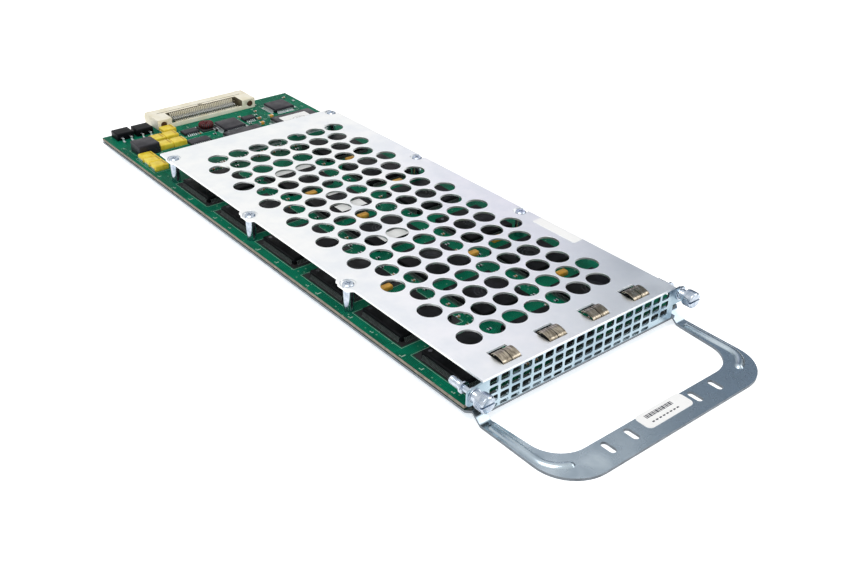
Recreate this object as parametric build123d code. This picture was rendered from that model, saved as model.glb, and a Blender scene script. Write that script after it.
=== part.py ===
from build123d import *
import os

# A plug-in modem card: a sheet steel base pan with a pull handle, a circuit board on it with three
# columns of signal chips under a perforated cover, a mesh front panel with two captive thumbscrews
# and a right-angle backplane connector at the rear.
# Millimetres. +Y points at the rear connector, +Z up. While it is modelled, x = 0 is the middle of
# the circuit board, y = 0 the front face of the panel and z = 0 the underside of the handle.

# Sheet thicknesses and the stack from the handle up
pan_sheet = 1.2
panel_sheet = 1.0
cover_sheet = 1.0
joggle_drop = 4.0          # how far the handle lies below the pan
pad_height = 0.6           # raised pads of the pan that carry the board
board_thickness = 1.6
cover_height = 12.7        # clear height between board and cover

# Circuit board and pan
board_width = 128.6
board_rear = 338.5
board_front = 6.2

# Cover plate with its staggered round holes
cover_offset = -3.75       # the cover and panel sit this far left of the board's middle
cover_width = 114.0
cover_length = 267.0
hole_pitch = 12.7
hole_radius = 5.55
hole_sides = 20            # facets of each round hole
hole_columns = 7
hole_rows = 18
first_hole_row = 26.0
cover_corner_radius = 5.0

# Standoffs and the screws at both of their ends
post_pitch = 83.3
post_rows = 3
left_post_first = 90.6
right_post_first = 95.7
post_edge_inset = 3.4      # post centre to the cover's edge
post_tab_reach = 1.9       # the cover's tabs stand out this far at the left posts
post_tab_length = 13.0
post_tab_bevel = 1.8
post_radius = 2.4
post_bore_radius = 1.45
screw_clearance = 0.05
dish_radius = 4.8          # pressed dish under each cover screw
dish_depth = 1.0
screw_head_radius = 2.7
screw_head_height = 1.1
screw_reach = 5.0          # screw length inside the standoff
pan_head_radius = 2.6

# Front panel: mesh, ears and flanges
panel_core_width = 114.0
mesh_columns = 18
mesh_rows = 4
mesh_pitch_x = 5.99
mesh_pitch_z = 4.3
cell_width = 4.7
cell_height = 3.1
cell_corner = 0.5          # the rounding of a cell's corners, as one small facet
top_web = 0.25             # panel left above the top row of cells
bottom_web = 0.25
bend_relief = 0.8          # the bottom row is pierced this far into the flange's bend
blank_cells = 2            # cells left out of the bottom row at its right end
ear_reach = 7.6
ear_bottom_rise = 6.5      # ear's lower edge above the pan
ear_top_fall = 1.4
ear_corner = 1.4
bottom_flange = 5.2
tab_width = 8.0
tab_depth = 6.5

# Spring clips at the cover's front edge
clip_count = 4
clip_pitch = 25.6
clip_width = 9.6
clip_slot_front = 3.1
clip_slot_length = 10.4
clip_slot_gap = 0.3
clip_slot_open = 2.2       # the slot stays open this far behind the clip
clip_sheet = 0.3
clip_rise = 1.9
clip_split = 0.5
clip_hook = 1.3

# Handle
handle_reach = 50.2        # panel face to the front of the handle
crossbar_depth = 14.4
pan_corner = 2.1           # chamfer of the pan's front corners, down to the arms' outer edges
arm_root_width = 5.6       # at the joggle
arm_width = 8.2            # where the arm meets the crossbar
handle_outer_radius = 19.0
handle_inner_radius = 15.0
joggle_rear = 3.6          # the arms bend down this far behind the panel's face
joggle_run = 4.8
joggle_bend = 1.6
joggle_relief = 0.6        # gap cut beside each arm's bend
bead_radius = 2.4
bead_rise = 1.1
bead_inset = 3.2           # middle of the rib to the arm's outer edge
bead_start = 5.4
bead_turn_start = 28.7
bead_turn_radius = 11.0
bead_turn = 72.0           # degrees round the handle's corner
grip_slot_places = (19.4, 32.5)
grip_slot_middle = -41.2   # a little nearer the crossbar's inner edge than its front
grip_slot_length = 7.4
grip_slot_width = 3.2

# Captive thumbscrews
thumb_half_spacing = 61.2
thumb_below_cover = 4.8
head_radius = 3.7
head_length = 5.0
head_slot_width = 1.0
head_slot_depth = 1.5
neck_radius = 1.3
thread_radius = 1.75
thread_length = 7.0
captive_travel = 4.0
ferrule_radius = 2.4
ferrule_flange_radius = 3.1
ferrule_flange = 0.6
ferrule_front = 3.2
ferrule_rim = 0.5
washer_radius = 2.6
washer_thickness = 0.8
running_clearance = 0.07
end_float = 0.3

# Signal chips on the board under the cover, in three columns: x, then y of the first, pitch
signal_chip_size = (28.0, 28.0, 3.4)
signal_chip_count = 6
signal_chip_columns = {
    "left": (-42.7, 28.1, 41.65),
    "middle": (-3.8, 22.0, 39.0),
    "right": (37.4, 33.2, 41.65),
}
filter_capacitor_size = (6.0, 3.2, 2.5)
filter_capacitor_places = ((-36.0, 94.0), (17.0, 94.0), (37.9, 54.0), (37.0, 98.5), (37.9, 181.0),
                           (35.0, 221.5), (-1.8, 159.0), (-8.5, 197.0))

# Backplane connector
connector_x = 1.5
connector_length = 67.7
connector_front = 328.4
connector_height = 6.2
connector_rear = 346.9
connector_drop = 1.4       # overhanging block below the board's top face
end_block = 9.3
front_wall = 1.2
front_wall_height = 2.4
cavity_rear = 337.6
socket_depth = 5.6
socket_opening = 3.4
connector_edge = 1.0       # chamfer along the top of the mating face
contact_tip_depth = 1.0    # the contacts end this far inside the mating face
boss_radius = 3.0
boss_reach = 1.8
end_hole_radius = 1.3
end_hole_depth = 6.0
contact_count = 34
contact_pitch = 1.27
contact_section = 0.5
contact_rows = ((3.6, 331.6), (1.9, 334.2))   # height above the board, place of the leg

# Parts soldered to the rear of the board: x, y, then width, depth, height
power_packages = ((-54.1, 332.0), (-41.8, 331.4))
power_package_size = (10.4, 8.8, 4.4)
power_lead = (0.9, 4.2, 0.6)
power_lead_offset = 2.6
coil_block = (-52.7, 304.1, 12.8, 12.0, 6.5)
tantalum_size = (8.2, 7.0, 3.3)
tantalum_places = ((-56.9, 293.4), (-56.9, 285.8), (-56.9, 278.2), (-40.6, 314.2), (-31.9, 314.2),
                   (-41.0, 303.4), (-32.4, 303.0), (-29.0, 323.3))
chip_corner = 0.4
rear_chips = {
    "interface_chip_left": (5.7, 308.7, 14.0, 14.0, 2.5),
    "interface_chip_right": (46.8, 318.0, 14.0, 14.0, 2.5),
    "controller_chip_left": (6.0, 283.0, 24.0, 27.0, 3.2),
    "controller_chip_right": (43.5, 286.0, 28.0, 28.0, 3.2),
    "driver_chip": (-18.8, 314.2, 10.0, 6.0, 1.8),
    "buffer_chip": (-20.7, 299.2, 13.6, 7.0, 1.4),
    "clock_chip": (20.6, 312.2, 8.0, 5.2, 1.8),
}
choke_place = (-7.6, 314.4)
choke_base_size = (9.4, 9.4, 1.2)
choke_ring_radius = 3.0
choke_ring_section = 1.6

# Blank adhesive labels
label_thickness = 0.15
cover_label = (49.8, 70.0, 5.8, 28.0)
cover_label_corner = 0.6
handle_label = (2.0, -39.6, 27.6, 9.0)
handle_label_corner = 2.5

# Levels and places that follow from the sizes above
pan_bottom = joggle_drop
pan_top = pan_bottom + pan_sheet
board_bottom = pan_top + pad_height
board_top = board_bottom + board_thickness
cover_bottom = board_top + cover_height
cover_top = cover_bottom + cover_sheet
cover_left = cover_offset - cover_width / 2
cover_right = cover_offset + cover_width / 2
left_posts = [(cover_left + post_edge_inset - (post_tab_reach if row < post_rows - 1 else 0),
               left_post_first + row * post_pitch) for row in range(post_rows)]
right_posts = [(cover_right - post_edge_inset, right_post_first + row * post_pitch)
               for row in range(post_rows)]
posts = left_posts + right_posts
thumb_z = cover_top - thumb_below_cover
arm_outer_half = board_width / 2 - pan_corner
arm_root_half = arm_outer_half - arm_root_width
ramp_front = joggle_rear - joggle_run


def block(x_range, y_range, z_range):
    """A box between two corners."""
    size = [high - low for low, high in (x_range, y_range, z_range)]
    middle = [(high + low) / 2 for low, high in (x_range, y_range, z_range)]
    return Pos(*middle) * Box(*size)


def peg(x, y, low, high, radius):
    """An upright cylinder."""
    return Pos(x, y, (low + high) / 2) * Cylinder(radius, high - low)


def rod(x, z, front, rear, radius):
    """A cylinder along Y."""
    return Pos(x, (front + rear) / 2, z) * Rot(90, 0, 0) * Cylinder(radius, rear - front)


def chip(x, y, width, depth, height, base=board_top):
    """A moulded package with a chamfered top edge."""
    body = Pos(x, y, base + height / 2) * Box(width, depth, height)
    return chamfer(body.edges().group_by(Axis.Z)[-1], chip_corner)


# Base pan with its joggled handle
def handle_outline():
    outer = Pos(0, -handle_reach / 2) * Rectangle(2 * arm_outer_half, handle_reach)
    outer = fillet(outer.vertices().group_by(Axis.Y)[0], handle_outer_radius)
    gap_half = arm_outer_half - arm_width
    gap_front = crossbar_depth - handle_reach
    gap = make_face(Polyline((-arm_root_half, 0), (arm_root_half, 0), (gap_half, gap_front),
                             (-gap_half, gap_front), close=True))
    gap = fillet(gap.vertices().group_by(Axis.Y)[0], handle_inner_radius)
    slot = Rot(0, 0, 90) * SlotOverall(grip_slot_length, grip_slot_width)
    slots = [Pos(side * place, grip_slot_middle) * slot for side in (-1, 1) for place in grip_slot_places]
    return outer - gap - slots


def arm_joggle(side):
    rear, front = joggle_rear + joggle_bend, ramp_front - joggle_bend
    points = [(rear, pan_bottom), (joggle_rear, pan_bottom), (ramp_front, 0), (front, 0),
              (front, pan_sheet), (ramp_front, pan_sheet), (joggle_rear, pan_top), (rear, pan_top)]
    profile = Plane.YZ * make_face(Polyline(*points, close=True))
    bends = [v for v in profile.vertices()
             if abs(v.Y - joggle_rear) < 0.01 or abs(v.Y - ramp_front) < 0.01]
    profile = fillet(bends, joggle_bend)
    arm = extrude(profile, arm_root_width / 2, both=True)
    return Pos(side * (arm_outer_half - arm_root_width / 2), 0, 0) * arm


def bead_path(side):
    middle = arm_outer_half - bead_inset
    straight = Line((middle, -bead_start), (middle, -bead_turn_start))
    curve = CenterArc((middle - bead_turn_radius, -bead_turn_start), bead_turn_radius, 0, -bead_turn)
    path = Pos(0, 0, pan_sheet + bead_rise - bead_radius) * Curve([straight, curve])
    return path if side > 0 else mirror(path, Plane.YZ)


def bead(side, radius):
    path = bead_path(side)
    start = path @ 0
    rib = sweep(Plane(start, z_dir=path % 0) * Circle(radius), path)
    return rib + Pos(start) * Sphere(radius) + Pos(path @ 1) * Sphere(radius)


def base_pan():
    floor = Pos(0, (joggle_rear + board_rear) / 2) * Rectangle(board_width, board_rear - joggle_rear)
    floor = chamfer(floor.vertices().group_by(Axis.Y)[0], pan_corner)
    floor += Pos(0, joggle_rear) * Rectangle(2 * (arm_root_half - joggle_relief), 2 * joggle_rear)
    pan = Pos(0, 0, pan_bottom) * extrude(floor, pan_sheet)
    for x, y in posts:
        pan += Pos(x, y, pan_top) * extrude(Circle(post_radius + pad_height), pad_height)
        pan -= peg(x, y, pan_bottom, board_bottom, post_bore_radius + screw_clearance)
        pan -= Pos(x, y, pan_bottom + pan_sheet / 2) * Cone(
            pan_head_radius + screw_clearance, post_bore_radius + screw_clearance, pan_sheet)
    flat = extrude(handle_outline(), pan_sheet)
    flat &= block((-arm_outer_half, arm_outer_half), (-handle_reach, ramp_front - joggle_bend),
                  (0, pan_sheet))
    pan += flat
    above = block((-board_width, board_width), (-handle_reach, 0), (pan_sheet / 2, board_top))
    for side in (-1, 1):
        pan += arm_joggle(side)
        pan += bead(side, bead_radius) & above
        pan -= bead(side, bead_radius - pan_sheet)
    return pan


# Front panel: mesh, ears, the flange on the pan and the tabs under the cover
def mesh_cells():
    cells = []
    lowest = pan_top + bottom_web
    for row in range(mesh_rows):
        top = cover_bottom - top_web - row * mesh_pitch_z
        bottom = max(top - cell_height, lowest)
        used = mesh_columns - (blank_cells if row == mesh_rows - 1 else 0)
        relief = bend_relief if row == mesh_rows - 1 else 0
        opening = Rectangle(cell_width, top - bottom)
        opening = chamfer(opening.vertices(), cell_corner)
        cell = extrude(Plane.XZ * opening, -panel_sheet - relief)
        first = cover_offset - (mesh_columns - 1) * mesh_pitch_x / 2
        cells += [Pos(first + column * mesh_pitch_x, 0, (top + bottom) / 2) * cell for column in range(used)]
    return cells


def ear_outline(side):
    root = cover_offset + side * (panel_core_width / 2 - ear_corner)
    tip = cover_offset + side * (panel_core_width / 2 + ear_reach)
    low = pan_top + ear_bottom_rise
    points = [(root, cover_bottom), (tip, cover_bottom - ear_top_fall), (tip, low), (root, low)]
    ear = make_face(Polyline(*points, close=True))
    tips = [v for v in ear.vertices() if abs(v.X - tip) < 0.01]
    return fillet(tips, ear_corner)


def front_panel():
    low_x, high_x = (cover_offset + side * panel_core_width / 2 for side in (-1, 1))
    face = Pos((low_x + high_x) / 2, (pan_top + cover_bottom) / 2) * Rectangle(
        high_x - low_x, cover_bottom - pan_top)
    face = face + ear_outline(-1) + ear_outline(1)
    panel = extrude(Plane.XZ * face, -panel_sheet)
    panel += block((low_x, high_x), (0, bottom_flange), (pan_top, pan_top + panel_sheet))
    for place in range(clip_count + 1):
        middle = cover_offset + (place - clip_count / 2) * clip_pitch
        panel += block((middle - tab_width / 2, middle + tab_width / 2), (0, tab_depth),
                       (cover_bottom - panel_sheet, cover_bottom))
    panel -= mesh_cells()
    for side in (-1, 1):
        panel -= rod(cover_offset + side * thumb_half_spacing, thumb_z, -1, panel_sheet + 1,
                     ferrule_radius + screw_clearance)
    return panel


# Perforated cover
def cover_plate():
    plate = Pos(cover_offset, cover_length / 2) * Rectangle(cover_width, cover_length)
    plate = fillet(plate.vertices().group_by(Axis.Y)[-1].sort_by(Axis.X)[-1:], cover_corner_radius)
    for x, y in left_posts[:-1]:
        tab = Pos(cover_left, y) * Rectangle(2 * post_tab_reach, post_tab_length)
        plate += chamfer(tab.vertices().group_by(Axis.X)[0], post_tab_bevel)
    for row in range(hole_rows):
        shift = cover_offset + (0.25 if row % 2 else -0.25) * hole_pitch
        y = first_hole_row + row * hole_pitch
        plate -= [Pos(shift + (column - (hole_columns - 1) / 2) * hole_pitch, y)
                  * RegularPolygon(hole_radius, hole_sides) for column in range(hole_columns)]
    slot_middle = clip_slot_front + clip_slot_length / 2
    for x in clip_places():
        plate -= Pos(x, slot_middle) * Rectangle(clip_width + 2 * clip_slot_gap, clip_slot_length)
    outline = extrude(plate, cover_sheet + dish_depth)
    cover = Pos(0, 0, cover_bottom) * extrude(plate, cover_sheet)
    for x, y in posts:
        dish = peg(x, y, cover_bottom - dish_depth, cover_bottom, dish_radius)
        cover += dish & (Pos(0, 0, cover_bottom - dish_depth) * outline)
        cover -= peg(x, y, cover_top - dish_depth, cover_top, dish_radius - dish_depth)
        cover -= peg(x, y, cover_bottom - dish_depth, cover_top, post_bore_radius + screw_clearance)
    return cover


def clip_places():
    return [cover_offset + (place - (clip_count - 1) / 2) * clip_pitch for place in range(clip_count)]


# Spring clips: two bowed fingers that rise through a slot and hook under the cover at both ends
def spring_clip(x):
    rear = clip_slot_front + clip_slot_length - clip_slot_open
    front = clip_slot_front + clip_slot_gap
    low = cover_bottom - clip_sheet
    middle = (front + rear) / 2
    over = ThreePointArc((front + clip_sheet, cover_bottom), (middle, cover_top + clip_rise - clip_sheet),
                         (rear - clip_sheet, cover_bottom))
    crown = ThreePointArc((front, cover_bottom), (middle, cover_top + clip_rise), (rear, cover_bottom))
    profile = make_face([crown, Line(crown @ 1, over @ 1), over, Line(over @ 0, crown @ 0)])
    clip = extrude(Plane.YZ * profile, clip_width / 2, both=True)
    rear_hook = rear + clip_slot_open + clip_hook
    for hook in ((front - clip_hook, front + clip_sheet), (rear - clip_sheet, rear_hook)):
        clip += block((-clip_width / 2, clip_width / 2), hook, (low, cover_bottom))
    clip -= block((-clip_split / 2, clip_split / 2), (front + clip_hook, rear - clip_hook),
                  (low, cover_top + clip_rise))
    return Pos(x, 0, 0) * clip


# Standoffs and screws
def standoff(x, y):
    post = peg(x, y, board_top, cover_bottom - dish_depth, post_radius)
    return post - peg(x, y, board_top, cover_bottom, post_bore_radius)


def cover_screw(x, y):
    seat = cover_top - dish_depth
    head = peg(x, y, seat, seat + screw_head_height, screw_head_radius)
    head = chamfer(head.edges().group_by(Axis.Z)[-1], screw_head_height / 3)
    return head + peg(x, y, cover_bottom - screw_reach, seat, post_bore_radius - screw_clearance)


def pan_screw(x, y):
    head = Pos(x, y, pan_bottom + pan_sheet / 2) * Cone(
        pan_head_radius, post_bore_radius - screw_clearance, pan_sheet)
    return head + peg(x, y, pan_top, board_top + screw_reach, post_bore_radius - screw_clearance)


def main_board():
    board = block((-board_width / 2, board_width / 2), (board_front, board_rear), (board_bottom, board_top))
    return board - [peg(x, y, board_bottom, board_top, post_bore_radius + screw_clearance) for x, y in posts]


# Captive thumbscrews: a ferrule in each ear, a retaining washer on the neck and the screw itself
washer_front = panel_sheet + ferrule_rim + end_float + captive_travel
thread_start = washer_front + washer_thickness + running_clearance
head_rear = -ferrule_front - end_float


def ferrule(x):
    body = rod(x, thumb_z, -ferrule_front, panel_sheet + ferrule_rim, ferrule_radius)
    body += rod(x, thumb_z, -ferrule_flange, 0, ferrule_flange_radius)
    body += rod(x, thumb_z, panel_sheet, panel_sheet + ferrule_rim, ferrule_radius + ferrule_rim)
    return body - rod(x, thumb_z, -ferrule_front, panel_sheet + ferrule_rim, neck_radius + running_clearance)


def retaining_washer(x):
    rear = washer_front + washer_thickness
    return rod(x, thumb_z, washer_front, rear, washer_radius) - rod(
        x, thumb_z, washer_front, rear, neck_radius + running_clearance)


def thumbscrew(x):
    head = rod(x, thumb_z, head_rear - head_length, head_rear, head_radius)
    head = chamfer(head.edges().group_by(Axis.Y)[0], head_slot_width / 2)
    head -= block((x - head_radius, x + head_radius),
                  (head_rear - head_length, head_rear - head_length + head_slot_depth),
                  (thumb_z - head_slot_width / 2, thumb_z + head_slot_width / 2))
    shank = rod(x, thumb_z, thread_start, thread_start + thread_length, thread_radius)
    shank = chamfer(shank.edges().group_by(Axis.Y)[-1], thread_radius - neck_radius)
    return head + rod(x, thumb_z, head_rear, thread_start, neck_radius) + shank


# Backplane connector
def connector_housing():
    low_x, high_x = connector_x - connector_length / 2, connector_x + connector_length / 2
    top = board_top + connector_height
    body = block((low_x, high_x), (connector_front, connector_rear), (board_top, top))
    body += block((low_x, high_x), (board_rear, connector_rear), (board_top - connector_drop, top))
    body = chamfer(body.edges().filter_by(Axis.X).group_by(Axis.Z)[-1].sort_by(Axis.Y)[-1:],
                   connector_edge)
    inner = (low_x + end_block, high_x - end_block)
    body -= block(inner, (connector_front + front_wall, cavity_rear), (board_top, top))
    body -= block(inner, (connector_front, connector_front + front_wall),
                  (board_top + front_wall_height, top))
    heights = [height for height, leg in contact_rows]
    middle = board_top + (max(heights) + min(heights)) / 2
    body -= block(inner, (connector_rear - socket_depth, connector_rear),
                  (middle - socket_opening / 2, middle + socket_opening / 2))
    for height in heights:
        level = board_top + height
        gap = contact_section / 2 + screw_clearance
        body -= block(inner, (cavity_rear, connector_rear), (level - gap, level + gap))
    for end in (low_x + boss_radius, high_x - boss_radius):
        boss = rod(end, middle, connector_rear - boss_radius, connector_rear + boss_reach, boss_radius)
        body += chamfer(boss.edges().group_by(Axis.Y)[-1], boss_radius / 3)
    for end in (low_x + end_block / 2, high_x - end_block / 2):
        body -= rod(end, board_top + connector_height / 2, connector_front,
                    connector_front + end_hole_depth, end_hole_radius)
    return body


def connector_contacts():
    half = contact_section / 2
    tip = connector_rear - contact_tip_depth
    contacts = []
    for height, leg in contact_rows:
        level = board_top + height
        for place in range(contact_count):
            x = connector_x + (place - (contact_count - 1) / 2) * contact_pitch
            across = (x - half, x + half)
            contacts.append(block(across, (leg - half, tip), (level - half, level + half))
                            + block(across, (leg - half, leg + half), (board_top, level + half)))
    return contacts


# Soldered parts at the rear
def power_package(x, y):
    return chip(x, y, *power_package_size)


def power_leads():
    width, reach, thickness = power_lead
    body_front = power_package_size[1] / 2
    leads = []
    for x, y in power_packages:
        for side in (-1, 1):
            middle = x + side * power_lead_offset
            front = y - body_front - reach
            bend = y - body_front - reach / 2
            across = (middle - width / 2, middle + width / 2)
            high = board_top + power_package_size[2] / 2
            leads.append(block(across, (bend, y - body_front), (high - thickness, high))
                         + block(across, (bend - thickness, bend), (board_top, high))
                         + block(across, (front, bend), (board_top, board_top + thickness)))
    return leads


def choke_ring():
    low = board_top + choke_base_size[2]
    x, y = choke_place
    outer = choke_ring_radius + choke_ring_section
    ring = peg(x, y, low, low + 2 * choke_ring_section, outer)
    ring = chamfer(ring.edges().group_by(Axis.Z)[-1], choke_ring_section / 2)
    return ring - peg(x, y, low, low + 2 * choke_ring_section, choke_ring_radius - choke_ring_section)


def label(x, y, width, depth, base, corner):
    return Pos(x, y, base) * extrude(RectangleRounded(width, depth, corner), label_thickness)


pieces = {
    "base_pan": base_pan(),
    "front_panel": front_panel(),
    "cover_plate": cover_plate(),
    "main_board": main_board(),
    "cover_standoffs": [standoff(*place) for place in posts],
    "cover_screws": [cover_screw(*place) for place in posts],
    "pan_screws": [pan_screw(*place) for place in posts],
    "connector_housing": connector_housing(),
    "connector_contacts": connector_contacts(),
    "power_package_left": power_package(*power_packages[0]),
    "power_package_right": power_package(*power_packages[1]),
    "power_package_leads": power_leads(),
    "coil_block": chip(*coil_block),
    "tantalum_capacitors": [chip(*place, *tantalum_size) for place in tantalum_places],
    "choke_base": chip(*choke_place, *choke_base_size),
    "choke_ring": choke_ring(),
    "filter_capacitors": [chip(*place, *filter_capacitor_size) for place in filter_capacitor_places],
    "cover_label": label(*cover_label, cover_top, cover_label_corner),
    "handle_label": label(*handle_label, pan_sheet, handle_label_corner),
}
for name, place in rear_chips.items():
    pieces[name] = chip(*place)
for number, x in enumerate(clip_places()):
    pieces[f"spring_clip_{number + 1}"] = spring_clip(x)
for name, side in (("left", -1), ("right", 1)):
    x = cover_offset + side * thumb_half_spacing
    pieces[f"screw_ferrule_{name}"] = ferrule(x)
    pieces[f"retaining_washer_{name}"] = retaining_washer(x)
    pieces[f"thumbscrew_{name}"] = thumbscrew(x)
for column, (x, first, pitch) in signal_chip_columns.items():
    for number in range(signal_chip_count):
        pieces[f"signal_chip_{column}_{number + 1}"] = chip(x, first + number * pitch, *signal_chip_size)

# The finished card stands with the middle of its footprint at the origin
solids = {name: shape if isinstance(shape, list) else [shape] for name, shape in pieces.items()}
whole = Compound([solid for group in solids.values() for solid in group]).bounding_box()
to_origin = Pos(-whole.center().X, -whole.center().Y, -whole.min.Z)

os.makedirs("parts", exist_ok=True)
for name, group in solids.items():
    placed = [to_origin * solid for solid in group]
    export_step(placed[0] if len(placed) == 1 else Compound(children=placed), f"parts/{name}.step")
print("shift to the origin", to_origin.position)
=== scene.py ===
import math
import random

import bpy
from mathutils import Matrix, Vector


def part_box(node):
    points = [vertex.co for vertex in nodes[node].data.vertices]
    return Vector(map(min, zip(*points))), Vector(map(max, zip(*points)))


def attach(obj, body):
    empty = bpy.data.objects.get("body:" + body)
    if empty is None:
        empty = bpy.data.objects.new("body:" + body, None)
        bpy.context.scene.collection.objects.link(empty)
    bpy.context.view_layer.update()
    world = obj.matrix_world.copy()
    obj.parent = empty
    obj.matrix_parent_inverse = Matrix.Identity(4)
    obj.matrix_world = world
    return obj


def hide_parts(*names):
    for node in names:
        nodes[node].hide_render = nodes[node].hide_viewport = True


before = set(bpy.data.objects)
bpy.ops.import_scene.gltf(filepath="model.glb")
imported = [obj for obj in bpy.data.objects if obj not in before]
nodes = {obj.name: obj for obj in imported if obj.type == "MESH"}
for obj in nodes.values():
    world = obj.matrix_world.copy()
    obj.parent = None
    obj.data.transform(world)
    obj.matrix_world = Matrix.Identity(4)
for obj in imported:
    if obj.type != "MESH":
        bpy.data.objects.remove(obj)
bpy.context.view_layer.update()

mm = 0.001
boardLow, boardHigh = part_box("main_board")
panelLow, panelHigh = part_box("front_panel")
coverLow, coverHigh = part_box("cover_plate")
boardMiddle = (boardLow.x + boardHigh.x) / 2
# millimetres over the handle's underside
boardTop = 7.4
chance = random.Random(7)


def place(x, y, z):
    # millimetres from the board's middle, the panel's front face and the handle's underside
    return Vector((boardMiddle + x * mm, panelLow.y + y * mm, z * mm))


# Selecting and shaping
def deselect():
    bpy.ops.object.select_all(action="DESELECT")


def pick(piece):
    deselect()
    piece.hide_set(False)
    piece.select_set(True)
    bpy.context.view_layer.objects.active = piece


def editFaces(piece, chosen, kind="FACE"):
    # opens edit mode with the faces, edges or vertices that pass the test selected
    pick(piece)
    bpy.ops.object.mode_set(mode="EDIT")
    bpy.ops.mesh.select_mode(type=kind)
    bpy.ops.mesh.select_all(action="DESELECT")
    bpy.ops.object.mode_set(mode="OBJECT")
    mesh = piece.data
    parts = {"FACE": mesh.polygons, "EDGE": mesh.edges, "VERT": mesh.vertices}[kind]
    for part in parts:
        part.select = bool(chosen(part))
    bpy.ops.object.mode_set(mode="EDIT")


def leaveEdit():
    bpy.ops.object.mode_set(mode="OBJECT")


def settle(piece):
    pick(piece)
    bpy.ops.object.transform_apply(location=True, rotation=True, scale=True)
    return piece


def addBox(name, low, high):
    deselect()
    middle = (Vector(low) + Vector(high)) / 2
    bpy.ops.mesh.primitive_cube_add(size=1, location=middle, scale=Vector(high) - Vector(low))
    piece = bpy.context.active_object
    piece.name = name
    return settle(piece)


def addBoxes(name, boxes):
    # many boxes in one mesh, from lists of low and high corners
    piece = addBox(name, *boxes[0])
    bpy.ops.object.mode_set(mode="EDIT")
    for low, high in boxes[1:]:
        middle = (Vector(low) + Vector(high)) / 2
        bpy.ops.mesh.primitive_cube_add(size=1, location=middle, scale=Vector(high) - Vector(low))
    leaveEdit()
    return piece


def addRod(name, start, end, radius, sides=32):
    deselect()
    axis = Vector(end) - Vector(start)
    turn = Vector((0, 0, 1)).rotation_difference(axis).to_euler()
    bpy.ops.mesh.primitive_cylinder_add(vertices=sides, radius=radius, depth=axis.length,
                                        location=(Vector(start) + Vector(end)) / 2, rotation=turn)
    piece = bpy.context.active_object
    piece.name = name
    return settle(piece)


def applyModifier(piece, kind, **settings):
    pick(piece)
    modifier = piece.modifiers.new(kind.lower(), kind)
    for name, value in settings.items():
        setattr(modifier, name, value)
    bpy.ops.object.modifier_apply(modifier=modifier.name)
    return piece


def soften(piece, width, segments=2, angle=30):
    return applyModifier(piece, "BEVEL", width=width, segments=segments, limit_method="ANGLE",
                         angle_limit=math.radians(angle), harden_normals=False)


def smooth(piece, angle=35):
    pick(piece)
    bpy.ops.object.shade_smooth_by_angle(angle=math.radians(angle))
    return piece


def flatten(piece):
    # keeps flat faces flat beside their rounded edges
    return applyModifier(piece, "WEIGHTED_NORMAL", keep_sharp=True, weight=100)


def cut(piece, tool):
    applyModifier(piece, "BOOLEAN", object=tool, operation="DIFFERENCE", solver="EXACT")
    bpy.data.objects.remove(tool)
    return piece


def join(name, pieces):
    deselect()
    for piece in pieces:
        piece.select_set(True)
    bpy.context.view_layer.objects.active = pieces[0]
    if len(pieces) > 1:
        bpy.ops.object.join()
    pieces[0].name = name
    return pieces[0]


def copyPiece(piece, matrix, name="copy"):
    twin = bpy.data.objects.new(name, piece.data.copy())
    bpy.context.scene.collection.objects.link(twin)
    twin.data.transform(matrix)
    return twin


def copyNode(node, name, weld=0.002):
    # a merged copy of a CAD node, with its flat faces made whole again
    piece = bpy.data.objects.new(name, nodes[node].data.copy())
    bpy.context.scene.collection.objects.link(piece)
    piece.data.materials.clear()
    pick(piece)
    bpy.ops.object.mode_set(mode="EDIT")
    bpy.ops.mesh.select_all(action="SELECT")
    bpy.ops.mesh.remove_doubles(threshold=weld * mm)
    bpy.ops.mesh.customdata_custom_splitnormals_clear()
    bpy.ops.mesh.dissolve_limited(angle_limit=math.radians(0.5))
    leaveEdit()
    return piece


def finish(piece, material, body="card", replaced=()):
    if not piece.data.materials:
        piece.data.materials.append(material)
    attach(piece, body)
    if replaced:
        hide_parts(*replaced)
    return piece


# Colours and material nodes
def hexColour(text):
    levels = [int(text[at:at + 2], 16) / 255 for at in (0, 2, 4)]
    return [v / 12.92 if v <= 0.04045 else ((v + 0.055) / 1.055) ** 2.4 for v in levels] + [1.0]


def addNode(tree, kind, settings=None, links=None):
    node = tree.nodes.new(kind)
    for name, value in (settings or {}).items():
        if isinstance(name, str) and hasattr(node, name):
            setattr(node, name, value)
        else:
            node.inputs[name].default_value = value
    for name, source in (links or {}).items():
        tree.links.new(source, node.inputs[name])
    return node


def newMaterial(name, colour, roughness, metallic=0.0, shine=0.5):
    material = bpy.data.materials.new(name)
    material.use_nodes = True
    tree = material.node_tree
    shader = tree.nodes["Principled BSDF"]
    shader.inputs["Base Color"].default_value = hexColour(colour)
    shader.inputs["Roughness"].default_value = roughness
    shader.inputs["Metallic"].default_value = metallic
    shader.inputs["Specular IOR Level"].default_value = shine
    return material, tree, shader


def objectPattern(tree, stretch=(1, 1, 1)):
    # Object coordinates in millimetres, so a Scale of 1 / n gives features about n mm apart
    where = addNode(tree, "ShaderNodeTexCoord")
    return addNode(tree, "ShaderNodeMapping", {"Scale": [s / mm for s in stretch]},
                   {"Vector": where.outputs["Object"]}).outputs["Vector"]


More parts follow.
